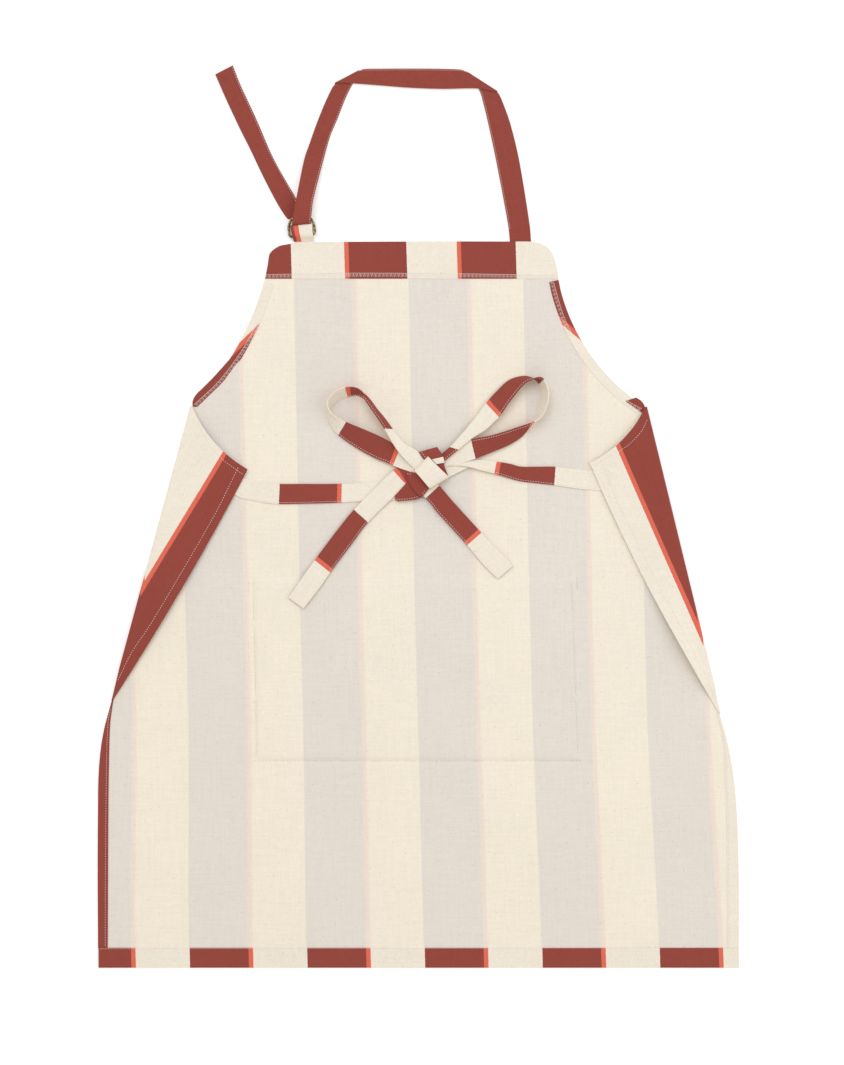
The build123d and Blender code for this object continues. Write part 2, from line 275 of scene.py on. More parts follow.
def outline(node, highest=True):
    """The outer edge of a flat CAD node's top or bottom face, as a list of points."""
    mesh = frame["nodes"][node].data
    heights = [v.co.z for v in mesh.vertices]
    level = max(heights) if highest else min(heights)
    used = {}
    for polygon in mesh.polygons:
        corners = [tuple(round(c, 6) for c in mesh.vertices[i].co) for i in polygon.vertices]
        if all(abs(c[2] - level) < 2e-5 for c in corners):
            for a, b in zip(corners, corners[1:] + corners[:1]):
                used[(a[:2], b[:2])] = True
    border = {a: b for a, b in used if (b, a) not in used}
    loops = []
    while border:
        start, point = border.popitem()
        loop = [start]
        while point != start:
            loop.append(point)
            point = border.pop(point)
        loops.append(loop)
    longest = max(loops, key=lambda loop: sum(math.dist(a, b) for a, b in zip(loop, loop[1:])))
    return [Vector(p) for p in longest]


# Corners of the bib and the armhole's foot as the photo shows them, in millimetres.
LEFT_SHOULDER = ((-168.6, 268.4), (-167.3, 274.8), (-166.0, 283.0), (-164.8, 290.1), (-161.8, 293.9),
                 (-154.1, 299.0), (-147.5, 300.5), (-141.4, 301.5), (-130.0, 303.3))
RIGHT_SHOULDER = ((123.0, 304.0), (132.9, 302.3), (140.5, 299.0), (146.9, 292.6), (150.2, 285.0),
                  (152.6, 275.0), (154.5, 266.0))
SHOULDER_Y = 0.2655  # where the shoulders start
LEFT_ARMHOLE_FOOT = ((-212.0, 170.3), (-226.1, 154.6), (-240.3, 140.4), (-245.3, 135.6), (-248.5, 131.0),
                     (-250.0, 126.2))
LEFT_FACING_FOOT = LEFT_ARMHOLE_FOOT + ((-249.4, 121.4), (-244.6, 121.4), (-232.5, 133.1),
                                        (-216.6, 148.8), (-201.4, 169.0))


def reshape(loop, chosen, corner):
    """An outline with its chosen points, which lie in one run, replaced by others."""
    while chosen(loop[0]) or chosen(loop[-1]):
        loop = loop[1:] + loop[:1]
    first = next(i for i, p in enumerate(loop) if chosen(p))
    points = [Vector(c) * MM for c in corner]
    if (points[0] - loop[first - 1]).length > (points[-1] - loop[first - 1]).length:
        points.reverse()
    return loop[:first] + points + [p for p in loop[first:] if not chosen(p)]


def shoulders(loop):
    """The bib's two top corners, rounded as the photo shows them."""
    loop = reshape(loop, lambda p: p.x < -0.129 and p.y > SHOULDER_Y, LEFT_SHOULDER)
    return reshape(loop, lambda p: p.x > 0.122 and p.y > SHOULDER_Y, RIGHT_SHOULDER)


def polygon_area(loop):
    return abs(sum(a.x * b.y - b.x * a.y for a, b in zip(loop, loop[1:] + loop[:1]))) / 2


def smooth_loop(loop, step):
    """Points along a closed outline, rounded between its corners."""
    count = len(loop)
    made = []
    bends = []
    for i in range(count):
        before, after = loop[i] - loop[i - 1], loop[(i + 1) % count] - loop[i]
        bends.append(before.angle(after, 0) < math.radians(34))
    for i in range(count):
        a, b = loop[i], loop[(i + 1) % count]
        span = b - a
        pull_a = (b - loop[i - 1]).normalized() * span.length if bends[i] else span
        after = loop[(i + 2) % count]
        pull_b = (after - a).normalized() * span.length if bends[(i + 1) % count] else span
        steps = max(1, round(span.length / step))
        made += [hermite(a, pull_a, b, pull_b, k / steps) for k in range(steps)]
    return made


def inside(loop, xs, ys):
    """Which of the points lie inside the outline, and how near each is to it."""
    hit = np.zeros(len(xs), bool)
    near = np.full(len(xs), 1e9)
    for a, b in zip(loop, loop[1:] + loop[:1]):
        crosses = (a.y > ys) != (b.y > ys)
        if a.y != b.y:
            hit ^= crosses & (xs < (b.x - a.x) * (ys - a.y) / (b.y - a.y) + a.x)
        dx, dy = b.x - a.x, b.y - a.y
        t = np.clip(((xs - a.x) * dx + (ys - a.y) * dy) / (dx * dx + dy * dy + 1e-18), 0, 1)
        near = np.minimum(near, np.hypot(xs - a.x - t * dx, ys - a.y - t * dy))
    return hit, near


def beside_seams():
    """Points close to the pocket's seams, where the cloth bends sharply."""
    made = []
    for seam in POCKET_SEAMS:
        for a, b in zip(seam, seam[1:]):
            start, end = Vector(a) * MM, Vector(b) * MM
            side = (end - start).orthogonal().normalized()
            for k in range(1, int((end - start).length / SEAM_STEP)):
                middle = start.lerp(end, k * SEAM_STEP / (end - start).length)
                made += [middle + side * MM * off for off in (-3, -1.8, -0.9, 0, 0.9, 1.8, 3)]
    return made


def fill(loop, step, extra=()):
    """Triangles over an outline, on an even grid of points."""
    xs = np.array([p.x for p in loop])
    ys = np.array([p.y for p in loop])
    gx, gy = np.meshgrid(np.arange(xs.min(), xs.max(), step), np.arange(ys.min(), ys.max(), step))
    gx, gy = gx.ravel(), gy.ravel()
    hit, near = inside(loop, gx, gy)
    keep = hit & (near > step * 0.45)
    points = list(loop) + [Vector(p) for p in zip(gx[keep], gy[keep])] + list(extra)
    made = delaunay_2d_cdt(points, [], [list(range(len(loop)))], 1, 1e-7)
    return made[0], [list(face) for face in made[2]]


def cloth_patch(name, node, height, print_at, materials, body, layer=0.0, step=GRID, edge=None,
                extra=()):
    """A sheet of cloth lying at a height, over a CAD node's outline or its own, and its area."""
    loop = smooth_loop(edge or outline(node), step)
    flat, faces = fill(loop, step, extra)
    points = [(p.x, p.y, height(p.x, p.y) + layer) for p in flat]
    uvs = [(print_at(p.x, p.y), p.y) for p in flat]
    piece = new_piece(name, points, faces, uvs, materials)
    thicken(piece, CLOTH)
    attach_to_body(piece, body)
    if node:
        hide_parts(node)
    return piece, polygon_area(loop)


def curve_through(rows, steps):
    """Rows of numbers along a smooth curve, rounded evenly where rows are close."""
    rows = np.asarray(rows, float)
    gaps = np.linalg.norm(np.diff(rows, axis=0), axis=1)
    knots = np.concatenate([[0], np.cumsum(np.sqrt(np.maximum(gaps, 1e-9)))])
    slopes = np.zeros_like(rows)
    for i in range(len(rows)):
        lo, hi = max(i - 1, 0), min(i + 1, len(rows) - 1)
        slopes[i] = (rows[hi] - rows[lo]) / (knots[hi] - knots[lo])
    made = []
    for i in range(len(rows) - 1):
        span = knots[i + 1] - knots[i]
        count = max(2, math.ceil(gaps[i] / steps))
        for t in np.arange(count) / count:
            made.append(hermite(rows[i], slopes[i] * span, rows[i + 1], slopes[i + 1] * span, t))
    made.append(rows[-1])
    return np.array(made)


def stripes_along(middle, along, marks):
    """Place in the stripe repeat for each point of a tape's middle, from the tape's marks."""
    places = []
    for x, y, value in marks:
        nearest = int(np.argmin(np.hypot(middle[:, 0] - x * MM, middle[:, 1] - y * MM)))
        places.append((along[nearest], value * MM))
    where, values = zip(*sorted(places))
    slope = 1.0 if len(places) < 2 or values[-1] > values[0] else -1.0
    beyond = np.minimum(along - where[0], 0) + np.maximum(along - where[-1], 0)
    return np.interp(along, where, values) + slope * beyond


def ribbon(name, rows, marks, material, body, thickness=TAPE, lean=0.0, on_panel=False):
    """A flat tape between two edges. Rows hold both edges' x, y and z in millimetres.

    Each mark is a place on the tape's middle, x and y, and its place in the stripe repeat.
    A lean is for stripes that run along the tape: how far the repeat moves on across it.
    """
    line = curve_through(np.asarray(rows, float) * MM, TAPE_STEP)
    if on_panel:
        for row in line:
            row[[2, 5]] += max(lay(row[0], row[1]), lay(row[3], row[4])) - REST
    first, second = line[:, :3], line[:, 3:]
    middle = (first + second) / 2
    along = distances(middle)
    stripes = np.full(len(line), marks[0][2] * MM) if lean else stripes_along(middle, along, marks)
    share = np.linspace(0, 1, TAPE_ROWS)[:, None]
    grid = first[:, None] * (1 - share) + second[:, None] * share
    uvs = [(stripe + lean * t, t * TAPE_WIDTH + far * bool(lean))
           for stripe, far in zip(stripes, along) for t in share[:, 0]]
    corners = [i * TAPE_ROWS + j for i in range(len(line) - 1) for j in range(TAPE_ROWS - 1)]
    faces = [(a, a + 1, a + TAPE_ROWS + 1, a + TAPE_ROWS) for a in corners]
    piece = new_piece(name, grid.reshape(-1, 3), faces, uvs, [material])
    thicken(piece, thickness)
    attach(piece, body)
    return piece, grid


# ---------------------------------------------------------------- tapes on their own joints
# For a tape on its own joint: the joint, which way the tape leaves it, and how far from the
# joint the bend starts and ends, in millimetres.
BENDS = {
    "left_tie": ("left_tie_hinge", (0.965, -0.262), -1.5, 5.0),
    "right_tie": ("right_tie_hinge", (-0.972, -0.236), -1.5, 5.0),
    "left_loop": ("left_loop_lift", (-0.747, 0.664), -2.0, 14.0),
    "right_loop": ("right_loop_lift", (0.815, 0.579), -2.0, 14.0),
    "left_tail": ("left_tail_lift", (-0.712, -0.702), -1.0, 9.0),
    "right_tail": ("right_tail_lift", (0.660, -0.751), -2.0, 8.0),
}


def attach(piece, body):
    """Make a piece follow a body; a piece of the neck loop, or a tape on its own joint, only has its
    place baked into its mesh.
    """
    if body == "neck_loop":
        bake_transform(piece)
    elif body not in BENDS or piece.name.startswith(("knot", "tail_turn", "tie_turn")):
        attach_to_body(piece, body)
    else:
        joint_name, outward, first, last = BENDS[body]
        outward = Vector((*outward, 0))
        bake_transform(piece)


# ---------------------------------------------------------------- threads
SPINDLE = [(0.22, 0.75), (0.5, 1.0), (0.78, 0.75)]  # share of a stitch's length, and girth
THREAD_SIDES = 6


class Threads:
    """Stitches gathered into one piece."""

    def __init__(self, name, material, width=STITCH_WIDTH):
        self.name, self.material, self.width = name, material, width
        self.points, self.faces = [], []

    def stitch(self, a, b, scale=1.0):
        """One stitch: a short rounded thread between two points."""
        a, b = Vector(a), Vector(b)
        along = (b - a).normalized()
        side = along.cross(Vector((0, 0, 1)))
        side = side.normalized() if side.length > 1e-6 else Vector((1, 0, 0))
        up = side.cross(along)
        radius = self.width * scale / 2
        base = len(self.points)
        self.points.append(a)
        for share, size in SPINDLE:
            middle = a.lerp(b, share)
            for k in range(THREAD_SIDES):
                angle = 2 * math.pi * k / THREAD_SIDES
                reach = side * math.cos(angle) + up * math.sin(angle) * 0.7
                self.points.append(middle + reach * radius * size)
        self.points.append(b)
        last = len(self.points) - 1
        for k in range(THREAD_SIDES):
            after = (k + 1) % THREAD_SIDES
            self.faces.append((base, base + 1 + after, base + 1 + k))
            for ring in range(len(SPINDLE) - 1):
                low = base + 1 + ring * THREAD_SIDES
                high = low + THREAD_SIDES
                self.faces.append((low + k, low + after, high + after, high + k))
            top = base + 1 + (len(SPINDLE) - 1) * THREAD_SIDES
            self.faces.append((top + k, top + after, last))

    def run(self, path):
        """A row of running stitches along a path of points."""
        path = np.asarray(path, float)
        along = distances(path)

        def at(distance):
            return Vector([np.interp(distance, along, path[:, k]) for k in range(3)])

        for start in np.arange(0, along[-1] - STITCH_LENGTH, STITCH_PITCH):
            self.stitch(at(start), at(start + STITCH_LENGTH))

    def overlock(self, inner, outer):
        """Serged edge: slanted threads between two rows of points, and a chain along the inner."""
        count = int(distances(inner)[-1] / SERGE_PITCH)
        inner, outer = resample(inner, count), resample(outer, count)
        for i in range(count - 1):
            self.stitch(inner[i], outer[i + 1], 0.8)
            self.stitch(inner[i], inner[i + 1], 1.5)
            if i % 2 == 0:
                self.stitch(inner[i], outer[i], 0.8)

    def make(self, body):
        attach(new_piece(self.name, self.points, self.faces, None, [self.material]), body)


def on_cloth(points, height, lift):
    """Points of the plan laid on a cloth."""
    return [(p[0], p[1], height(p[0], p[1]) + lift) for p in points]


# ---------------------------------------------------------------- materials
class Shader:
    """A node material, put together from small sums."""

    def __init__(self, name, roughness):
        self.material = bpy.data.materials.new(name)
        self.material.use_nodes = True
        self.nodes = self.material.node_tree.nodes
        self.surface = self.nodes["Principled BSDF"]
        self.finish({"Roughness": roughness})

    def wire(self, value, socket):
        """Join another node's output to a socket, or set the socket's own value."""
        if isinstance(value, bpy.types.NodeSocket):
            self.material.node_tree.links.new(value, socket)
        else:
            socket.default_value = value

    def finish(self, values):
        """Give the surface some of its inputs."""
        for name, value in values.items():
            self.wire(value, self.surface.inputs[name])

    def node(self, kind, inputs, **settings):
        """The outputs of a new node that has these settings and inputs."""
        made = self.nodes.new("ShaderNode" + kind)
        for name, value in settings.items():
            setattr(made, name, value)
        for name, value in inputs.items():
            self.wire(value, made.inputs[name])
        return made.outputs

    def math(self, operation, a, b=0.0, c=0.0):
        return self.node("Math", {0: a, 1: b, 2: c}, operation=operation)[0]

    def step(self, value, low, high):
        inputs = {"Value": value, "From Min": low, "From Max": high}
        return self.node("MapRange", inputs, interpolation_type="SMOOTHSTEP")[0]

    def mix(self, share, a, b, blend="MIX"):
        inputs = {"Factor": share, "A": a, "B": b}
        return self.node("Mix", inputs, data_type="RGBA", blend_type=blend)["Result"]

    def shaded(self, colour, share, low, high):
        """A colour times a brightness that goes from low to high with the share."""
        shade = self.mix(share, (low, low, low, 1), (high, high, high, 1))
        return self.mix(1.0, colour, shade, "MULTIPLY")

    def noise(self, vector, scale, detail):
        return self.node("TexNoise", {"Vector": vector, "Scale": scale, "Detail": detail})["Fac"]

    def scaled(self, vector, x, y):
        return self.node("VectorMath", {0: vector, 1: (x, y, 1.0)}, operation="MULTIPLY")[0]

    def parts(self, vector):
        return self.node("SeparateXYZ", {0: vector})

    def cloth_place(self):
        return self.node("UVMap", {}, uv_map="Cloth")[0]

    def place(self):
        return self.node("TexCoord", {})["Object"]

    def bump(self, height, strength, distance):
        inputs = {"Height": height, "Strength": strength, "Distance": distance}
        self.finish({"Normal": self.node("Bump", inputs)[0]})


THREAD_PITCH = 0.00056  # one thread of the weave to the next
THREAD_DRIFT = 0.00028  # how far a thread of the weave strays
SLUB_SCALES = (2400, 150)  # of the noise across and along a thicker thread
FRAY = 0.0009  # width of the uneven edge between two colours of the print
FLECK_SCALE, FLECK_TINT = 78, (0.80, 0.68, 0.52, 1)
CANVAS_FINISH = {"Sheen Weight": 0.08, "Sheen Roughness": 0.5, "Specular IOR Level": 0.18}


def weave(shader, cloth, place):
    """Height of a plain weave with uneven threads, from 0 to about 1, and its slubs."""
    drift = shader.math("MULTIPLY", shader.noise(place, 160, 1.0), THREAD_DRIFT)
    u, v, _ = shader.parts(cloth)
    turn = math.pi / THREAD_PITCH
    warp = shader.math("SINE", shader.math("MULTIPLY", shader.math("ADD", u, drift), turn))
    weft = shader.math("SINE", shader.math("MULTIPLY", shader.math("SUBTRACT", v, drift), turn))
    over = shader.math("MULTIPLY", warp, weft)
    slub_along = shader.noise(shader.scaled(place, *SLUB_SCALES), 1.0, 1.0)
    slub_across = shader.noise(shader.scaled(place, *SLUB_SCALES[::-1]), 1.0, 1.0)
    slubs = shader.math("ADD", slub_along, slub_across)
    return shader.math("MULTIPLY_ADD", over, 0.22, shader.math("MULTIPLY", slubs, 0.5)), slubs


def flecks(shader, place, base, share):
    """Small dark seed flecks of raw cotton, here and there."""
    spots = shader.node("TexVoronoi", {"Scale": FLECK_SCALE, "Vector": place},
                        voronoi_dimensions="2D")
    near = shader.step(spots["Distance"], 0.062, 0.028)
    red, green, _ = shader.parts(spots["Color"])
    chosen = shader.math("GREATER_THAN", red, 1 - share)
    strength = shader.math("MULTIPLY_ADD", green, 0.75, 0.15)
    share = shader.math("MULTIPLY", shader.math("MULTIPLY", near, chosen), strength)
    return shader.mix(share, base, FLECK_TINT, "MULTIPLY")


def striped(shader, u, rust, coral, cream, blur):
    """Rust, coral and cream bands that repeat along u."""
    at = shader.math("FLOORED_MODULO", u, STRIPE)
    colour = shader.mix(shader.step(at, RUST_WIDTH - blur, RUST_WIDTH + blur), rust, coral)
    colour = shader.mix(shader.step(at, CORAL_END - blur, CORAL_END + blur), colour, cream)
    return shader.mix(shader.step(at, STRIPE - blur, STRIPE), colour, rust)


def canvas(name, colours, blur, fleck_share, mottle, streak):
    """Cotton canvas: bands of colour or one colour, plain weave, slubs and seed flecks."""
    shader = Shader(name, 0.88)
    cloth, place = shader.cloth_place(), shader.place()
    height, slubs = weave(shader, cloth, place)
    colour = colours[0]
    if len(colours) > 1:
        u, _, _ = shader.parts(cloth)
        frayed = shader.math("MULTIPLY_ADD", shader.noise(place, 900, 1.0), FRAY, u)
        colour = striped(shader, shader.math("SUBTRACT", frayed, FRAY / 2), *colours, blur)
    colour = shader.shaded(colour, shader.step(slubs, 0.62, 1.42), 0.96 - mottle, 1.035 + mottle)
    colour = shader.shaded(colour, shader.noise(place, 9, 3.0), 0.965, 1.03)
    streaks = shader.math("ADD", shader.noise(shader.scaled(cloth, 420, 22), 1.0, 3.0),
                          shader.noise(shader.scaled(cloth, 30, 380), 1.0, 3.0))
    colour = shader.shaded(colour, shader.step(streaks, 0.72, 1.28), 1 - streak, 1 + streak)
    if fleck_share:
        colour = flecks(shader, place, colour, fleck_share)
    shader.finish({"Base Color": colour} | CANVAS_FINISH)
    shader.bump(height, 0.35, 0.00022)
    return shader.material


def thread_material(name, colour):
    """Twisted sewing thread."""
    shader = Shader(name, 0.7)
    twist = shader.noise(shader.place(), 2600, 1.0)
    dark = tuple(c * 0.8 for c in colour[:3]) + (1,)
    shader.finish({"Base Color": shader.mix(twist, dark, colour)})
    shader.bump(twist, 0.3, 0.0001)
    return shader.material


def brass_material():
    """Old brass, dark between its worn places."""
    shader = Shader("ring_brass", 0.38)
    worn = shader.noise(shader.place(), 420, 3.0)
    colour = shader.mix(shader.step(worn, 0.35, 0.65), (0.085, 0.058, 0.03, 1), (0.46, 0.34, 0.16, 1))
    shader.finish({"Base Color": colour, "Metallic": 1.0})
    shader.bump(worn, 0.25, 0.0002)
    return shader.material


PRINT = canvas("canvas_print", (RUST, CORAL, CREAM), 0.0003, 0.3, 0.03, 0.02)
BACK = canvas("canvas_back", (GHOST_GREY, GHOST_PINK, CREAM_BACK), 0.0020, 0.5, 0.01, 0.022)
STRAP = canvas("strap_canvas", (RUST,), 0.0, 0.0, 0.06, 0.03)
THREAD = thread_material("thread", (0.93, 0.80, 0.78, 1))
SERGE_THREAD = thread_material("serge_thread", (0.95, 0.88, 0.82, 1))
PALE_THREAD = thread_material("pale_thread", (0.90, 0.82, 0.71, 1))
# The pocket's thread is darker than the pale thread's own colour: painted shade for the crease along the
# pocket's seams.
POCKET_THREAD_CREASE_SHADE = thread_material("pocket_thread_crease_shade", (0.66, 0.58, 0.50, 1))
BRASS = brass_material()

# ---------------------------------------------------------------- panel, hems and facings
# Outlines as the photo shows them, in millimetres.
LEFT_HEM_EDGE = (
    (-336.8, -197.0), (-339.4, -204.6), (-342.6, -216.0), (-347.6, -235.0), (-351.3, -256.6),
    (-353.4, -282.0), (-354.4, -330.0), (-354.7, -400.0), (-354.2, -477.5), (-343.6, -477.5),
    (-343.3, -405.5), (-342.9, -324.0), (-341.9, -254.3), (-340.7, -226.3), (-339.0, -213.6),
    (-337.6, -204.5), (-335.6, -197.4),
)
RIGHT_HEM_EDGE = (
    (329.9, -218.2), (334.0, -232.6), (337.1, -249.4), (339.0, -280.6), (340.7, -328.6),
    (341.6, -420.0), (341.9, -477.5), (354.2, -477.5), (354.3, -420.0), (352.9, -350.0),
    (350.2, -304.6), (346.9, -280.6), (342.2, -256.6), (337.0, -235.0), (332.4, -217.5),
)
ARMHOLE_TIP_EDGE = (
    (229.0, 127.5), (240.4, 131.6), (245.4, 128.6), (249.6, 123.5), (250.6, 118.6), (247.6, 114.5),
    (238.0, 121.0),
)
TIP_LAYER = LAYER * 1.9  # the armhole's tip lies on the facing as well


def from_mm(corners):
    return [Vector(corner) * MM for corner in corners]


def top_cloth(name, node, print_at, edge=None, layer=LAYER, step=GRID):
    """A hem or facing that lies on the panel with its print up, and its area."""
    return cloth_patch(name, node, lay, print_at, [PRINT, BACK], "panel", layer, step, edge)


panel_edge = reshape(shoulders(outline("apron_panel", False)),
                     lambda p: p.x < -0.2 and 0.1235 < p.y < 0.171, LEFT_ARMHOLE_FOOT)
panel, panel_area = cloth_patch("panel_cloth", "apron_panel", lay, panel_print, [BACK, PRINT],
                                "panel", edge=panel_edge, extra=beside_seams())
pocket, _ = cloth_patch("pocket_cloth", "pocket", lambda x, y: 0.00034, panel_print, [BACK, PRINT],
                        "panel", step=0.008)
bib_facing, facing_area = top_cloth("bib_facing_cloth", "bib_facing", facing_print,
                                    shoulders(outline("bib_facing")))
left_armhole, left_armhole_area = top_cloth(
    "left_armhole_cloth", "left_armhole_facing", left_armhole_print,
    reshape(outline("left_armhole_facing"), lambda p: p.y < 0.171, LEFT_FACING_FOOT))
right_armhole, right_armhole_area = top_cloth(
    "right_armhole_cloth", "right_armhole_facing", right_armhole_print,
    [p + Vector((-0.8, 5.4)) * MM if p.y > 0.2525 else p for p in outline("right_armhole_facing")])
bottom_hem, _ = top_cloth("bottom_hem_cloth", "bottom_hem", panel_print)
armhole_tip, armhole_tip_area = top_cloth("right_armhole_tip", None, plain(IN_RUST),
                                          from_mm(ARMHOLE_TIP_EDGE), TIP_LAYER, 0.003)
left_hem, left_hem_area = top_cloth("left_side_hem_cloth", "left_side_hem", plain(IN_RUST),
                                    from_mm(LEFT_HEM_EDGE))
right_hem, right_hem_area = top_cloth("right_side_hem_cloth", "right_side_hem", plain(IN_CREAM),
                                      from_mm(RIGHT_HEM_EDGE))
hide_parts("pocket_hem")


# ---------------------------------------------------------------- flaps
ROLL_STEPS = 9
ON_FOLD = 0.0004  # how near the fold a point of a flap's outline is taken to lie on it


def roll_fold(fold, edge, points, uvs):
    """Add the roll of a fold to a flap's points and uvs, and return the roll's faces.

    The edge is the flap's own points on the fold, from which the roll goes down to the panel.
    """
    facing = 1 if fold.inward.x > 0 else -1
    rows = [edge]
    for step in range(1, ROLL_STEPS + 1):
        angle = math.pi * step / ROLL_STEPS
        rows.append(range(len(points), len(points) + len(edge)))
        for i in edge:
            top = points[i]
            low = lay(top.x, top.y)
            radius = (top.z - low) / 2
            out = fold.inward * -radius * math.sin(angle)
            rise = low + radius * (1 + math.cos(angle))
            points.append(Vector((top.x + out.x, top.y + out.y, rise)))
            uvs.append((uvs[i][0] - facing * radius * angle * 0.9, uvs[i][1]))
    return [(upper[k], lower[k], lower[k + 1], upper[k + 1])
            for upper, lower in zip(rows, rows[1:]) for k in range(len(edge) - 1)]


def print_up(piece, fold):
    """Turn a flap's faces all one way, with the first material up on the flap itself."""
    edit = bmesh.new()
    edit.from_mesh(piece.data)
    bmesh.ops.recalc_face_normals(edit, faces=edit.faces)
    inward = fold.inward.to_3d()
    innermost = max(edit.faces, key=lambda face: face.calc_center_median().dot(inward))
    if innermost.normal.z < 0:
        bmesh.ops.reverse_faces(edit, faces=edit.faces)
    edit.to_mesh(piece.data)
    edit.free()


def folded_flap(side, fold, print_at, swell, centre, spread, tip_length):
    """A corner folded in over the back: the flap and the roll of its fold, in one cloth."""
    node = side + "_flap"
    height = flap_lay(fold, swell, centre, spread, tip_length)
    loop = smooth_loop(outline(node), GRID)
    flat, faces = fill(loop, GRID)
    points = [Vector((p.x, p.y, height(p.x, p.y))) for p in flat]
    uvs = [(print_at(p.x, p.y), p.y) for p in flat]
    edge = [i for i, p in enumerate(flat[: len(loop)]) if abs(fold.depth(p.x, p.y)) < ON_FOLD]
    edge.sort(key=lambda i: flat[i].dot(fold.along))
    faces += roll_fold(fold, edge, points, uvs)
    piece = new_piece(node + "_cloth", points, faces, uvs, [PRINT, BACK])
    print_up(piece, fold)
    thicken(piece, CLOTH, 70)
    start = Vector((*fold.origin, lay(*fold.origin) + 0.0003))
    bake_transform(piece)
    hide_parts(node)
    return piece, polygon_area(loop), height


left_flap, left_flap_area, left_flap_height = folded_flap(
    "left", LEFT_FOLD, left_flap_print, 0.0026, -0.105, 0.075, 0.045)
right_flap, right_flap_area, right_flap_height = folded_flap(
    "right", RIGHT_FOLD, right_flap_print, 0.0100, -0.160, 0.055, 0.020)
under_flap = {}
for side, height, print_value in (("left", left_flap_height, IN_RUST),
                                  ("right", right_flap_height, IN_CREAM)):
    for part in ("hem", "facing"):
        node = f"{side}_flap_{part}"
        under_flap[node], _ = cloth_patch(node + "_cloth", node, height, plain(print_value),
                                          [BACK, PRINT], side + "_flap", -LAYER)

# ---------------------------------------------------------------- ties and bow
# Each row: one edge of the tape, then the other, as x, y and height above the table.
LEFT_TIE = (
    (-206.3, 59.2, 2.0, -207.5, 28.8, 2.0), (-200.3, 47.6, 1.9, -199.2, 22.1, 1.9),
    (-193.1, 42.6, 1.9, -191.4, 19.4, 1.9), (-183.7, 39.3, 2.0, -181.4, 17.5, 2.0),
    (-173.2, 36.7, 2.1, -170.9, 15.3, 2.1), (-153.2, 36.0, 2.1, -154.3, 13.8, 2.1),
    (-125.6, 36.0, 2.3, -125.6, 14.2, 2.3), (-89.6, 36.1, 2.3, -90.2, 15.2, 2.2),
    (-53.7, 37.6, 2.3, -51.4, 17.7, 2.3), (-27.1, 42.6, 2.5, -25.0, 18.2, 2.5),
    (-10.0, 44.0, 3.0, -6.0, 19.6, 3.0), (0.0, 46.0, 4.0, 4.5, 24.0, 4.0),
    (5.0, 48.0, 5.0, 12.0, 30.0, 5.0),
)
RIGHT_TIE = (
    (207.5, 63.6, 2.0, 208.6, 32.1, 2.0), (201.4, 55.3, 1.9, 203.0, 28.8, 1.9),
    (192.0, 51.2, 1.9, 191.4, 29.5, 1.9), (178.7, 51.9, 2.1, 178.7, 30.4, 2.1),
    (151.4, 54.9, 2.3, 150.0, 34.6, 2.2), (131.1, 55.0, 2.3, 130.6, 36.8, 2.3),
    (112.7, 55.2, 2.8, 111.9, 39.1, 2.4), (101.8, 58.1, 2.4, 99.0, 42.8, 3.4),
    (90.2, 60.0, 2.3, 87.4, 46.4, 4.2), (73.0, 62.3, 2.6, 70.3, 50.8, 5.6),
    (57.0, 61.7, 3.0, 52.6, 55.2, 6.6), (40.4, 60.3, 3.4, 36.0, 55.9, 7.0),
    (24.9, 58.1, 4.0, 21.6, 51.4, 7.0),
)
LEFT_LOOP = (
    (12.7, 56.4, 7.0, 2.8, 44.8, 7.5), (5.5, 63.1, 8.2, -4.4, 52.6, 8.8),
    (-2.8, 73.0, 9.3, -12.1, 60.0, 10.8), (-14.1, 79.1, 9.5, -21.1, 70.0, 13.0),
    (-21.9, 87.2, 8.0, -29.2, 82.1, 14.0), (-28.6, 96.3, 6.5, -37.5, 96.6, 15.0),
    (-37.0, 108.0, 5.5, -43.9, 106.8, 16.0), (-45.9, 118.8, 5.5, -50.2, 115.8, 16.5),
    (-53.4, 128.9, 7.5, -55.9, 124.0, 15.0), (-60.4, 136.2, 12.0, -61.7, 130.6, 10.0),
    (-66.8, 140.6, 16.5, -68.0, 133.8, 5.0), (-73.6, 142.1, 18.5, -73.0, 133.6, 2.8),
    (-81.2, 141.7, 18.5, -78.7, 132.1, 2.8), (-90.8, 138.2, 18.5, -86.9, 129.4, 2.8),
    (-97.2, 132.0, 18.5, -92.4, 125.0, 2.8), (-100.2, 125.6, 18.0, -97.4, 118.9, 2.8),
    (-98.5, 117.8, 17.0, -99.4, 112.3, 2.8), (-92.4, 110.6, 15.0, -97.7, 102.3, 2.8),
    (-79.7, 103.9, 12.5, -88.3, 90.2, 3.0), (-58.5, 95.3, 10.0, -68.6, 76.1, 3.4),
    (-38.3, 86.2, 8.5, -48.5, 64.9, 4.0), (-26.1, 78.6, 7.5, -33.7, 59.0, 5.0),
    (-15.5, 66.9, 7.0, -22.1, 53.9, 6.0), (-3.3, 54.2, 7.0, -8.1, 48.8, 6.5),
    (3.9, 47.0, 7.0, 0.6, 42.6, 6.5),
)
